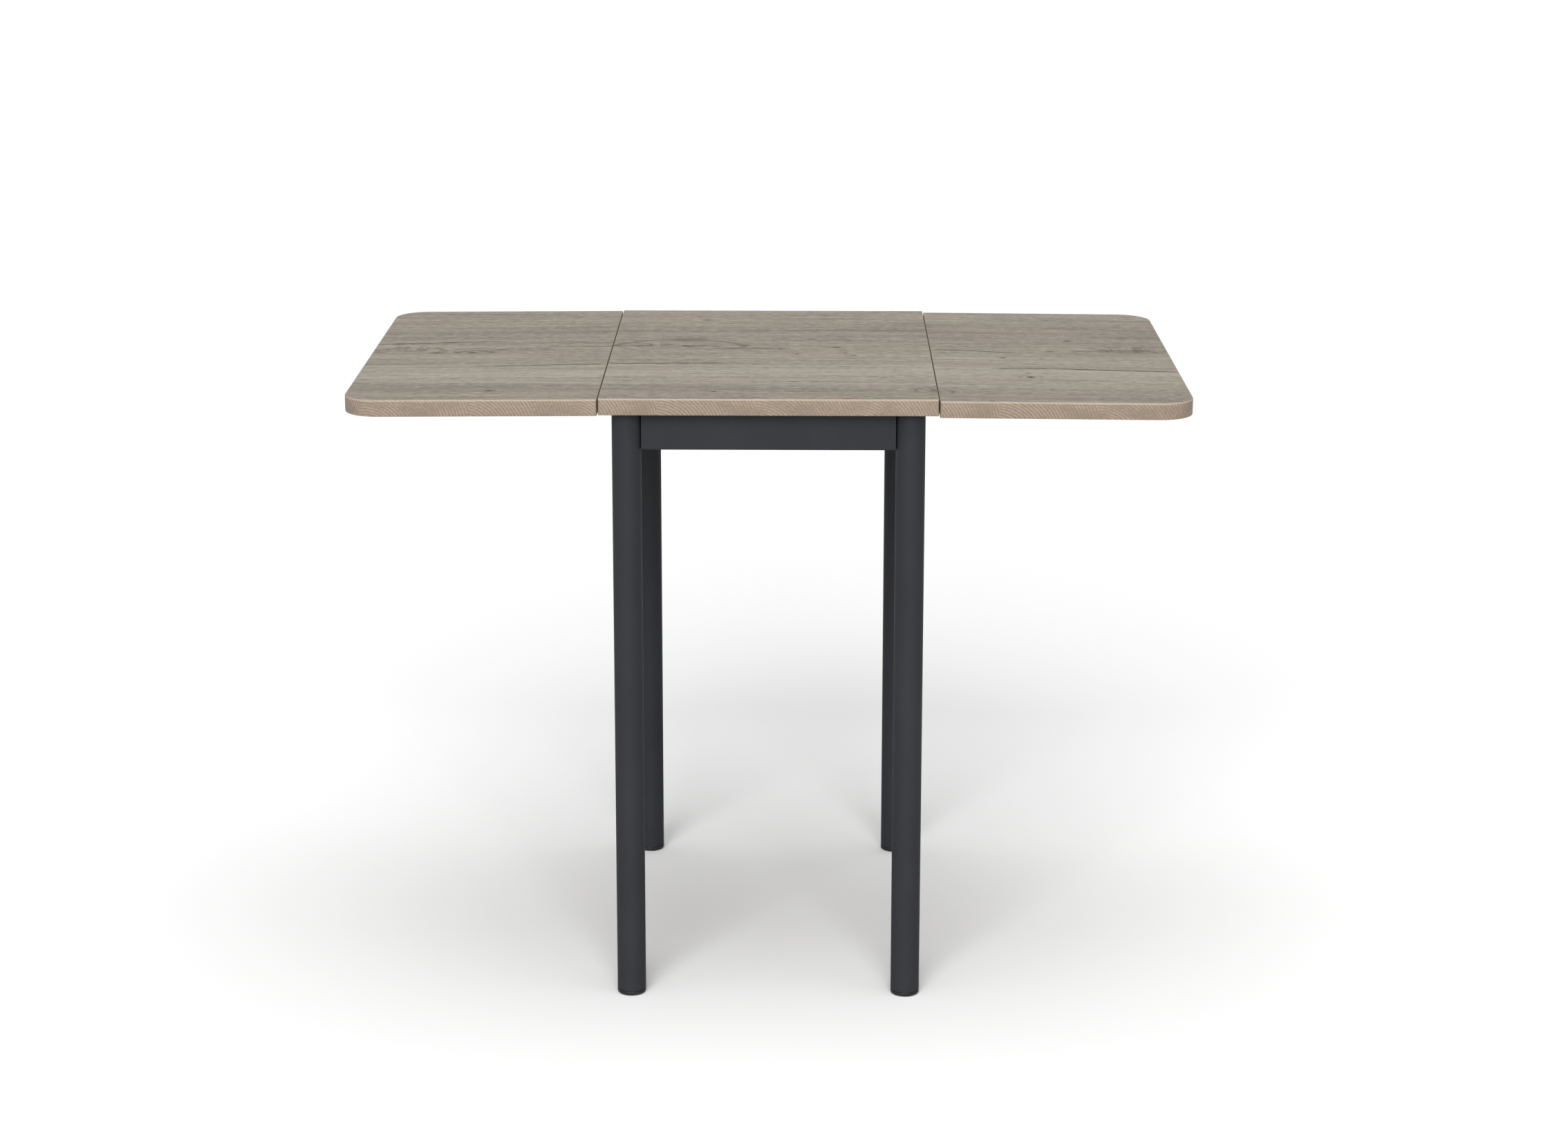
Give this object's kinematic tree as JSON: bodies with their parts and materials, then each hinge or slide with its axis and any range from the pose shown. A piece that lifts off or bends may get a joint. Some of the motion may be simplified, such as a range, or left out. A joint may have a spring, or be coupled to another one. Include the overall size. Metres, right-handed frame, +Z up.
{
  "type": "drop-leaf table",
  "caption": "Drop-leaf table: weathered oak boards on four round dark steel legs, two hinged end leaves on folding arms",
  "frame": {"origin": "on the floor, midway between the four legs", "axes": "+X along the table's length towards the right leaf, +Y from the front edge to the back, +Z up"},
  "size_m": [1.0026, 0.6, 0.75],
  "materials": {
    "oak_board": "matt weathered grey-brown oak decor with a fine open grain along X",
    "dark_steel": "dark grey powder coat, fine satin texture",
    "dark_plastic": "matt moulded plastic",
    "zinc_steel": "bright zinc plate",
    "spring_steel": "polished spring steel",
    "white_nylon": "smooth nylon"
  },
  "bodies": {
    "frame": {"centre_top": "oak_board", "front_left_leg": "dark_steel", "front_left_foot": "dark_plastic", "front_left_corner_bracket": "zinc_steel", "front_left_corner_bolt": "zinc_steel", "front_left_hinge_inner_plate": "zinc_steel", "front_left_hinge_pin": "spring_steel", "back_left_leg": "dark_steel", "back_left_foot": "dark_plastic", "back_left_corner_bracket": "zinc_steel", "back_left_corner_bolt": "zinc_steel", "back_left_hinge_inner_plate": "zinc_steel", "back_left_hinge_pin": "spring_steel", "front_right_leg": "dark_steel", "front_right_foot": "dark_plastic", "front_right_corner_bracket": "zinc_steel", "front_right_corner_bolt": "zinc_steel", "front_right_hinge_inner_plate": "zinc_steel", "front_right_hinge_pin": "spring_steel", "back_right_leg": "dark_steel", "back_right_foot": "dark_plastic", "back_right_corner_bracket": "zinc_steel", "back_right_corner_bolt": "zinc_steel", "back_right_hinge_inner_plate": "zinc_steel", "back_right_hinge_pin": "spring_steel", "front_rail": "dark_steel", "back_rail": "dark_steel", "left_rail": "dark_steel", "right_rail": "dark_steel", "left_arm_bracket": "dark_steel", "left_arm_pivot_bolt": "zinc_steel", "left_arm_pivot_nut": "zinc_steel", "left_arm_spring": "spring_steel", "left_arm_catch": "spring_steel", "right_arm_bracket": "dark_steel", "right_arm_pivot_bolt": "zinc_steel", "right_arm_pivot_nut": "zinc_steel", "right_arm_spring": "spring_steel", "right_arm_catch": "spring_steel"},
    "left_leaf_assembly": {"left_leaf": "oak_board", "front_left_hinge_outer_plate": "zinc_steel", "back_left_hinge_outer_plate": "zinc_steel", "left_wear_strip": "zinc_steel"},
    "left_arm_assembly": {"left_arm": "dark_steel", "left_arm_glide": "white_nylon", "left_arm_glide_pin": "zinc_steel"},
    "right_leaf_assembly": {"right_leaf": "oak_board", "front_right_hinge_outer_plate": "zinc_steel", "back_right_hinge_outer_plate": "zinc_steel", "right_wear_strip": "zinc_steel"},
    "right_arm_assembly": {"right_arm": "dark_steel", "right_arm_glide": "white_nylon", "right_arm_glide_pin": "zinc_steel"}
  },
  "joints": [
    {"name": "left_leaf_fold", "type": "hinge", "parent": "frame", "child": "left_leaf_assembly", "pos_m": [-0.2006, 0, 0.726], "axis": [0, -1, 0], "range_deg": [0, 89.6]},
    {"name": "left_arm_fold", "type": "hinge", "parent": "frame", "child": "left_arm_assembly", "pos_m": [-0.1916, 0, 0.696], "axis": [0, -1, 0], "range_deg": [0, 97.7]},
    {"name": "right_leaf_fold", "type": "hinge", "parent": "frame", "child": "right_leaf_assembly", "pos_m": [0.2006, 0, 0.7248], "axis": [0, 1, 0], "range_deg": [0, 89.6]},
    {"name": "right_arm_fold", "type": "hinge", "parent": "frame", "child": "right_arm_assembly", "pos_m": [0.1916, 0, 0.6948], "axis": [0, 1, 0], "range_deg": [0, 97.7]}
  ],
  "couplings": [
    {"joint": "left_arm_fold", "follows": "left_leaf_fold", "ratio": 1.0903},
    {"joint": "right_arm_fold", "follows": "right_leaf_fold", "ratio": 1.0903}
  ]
}
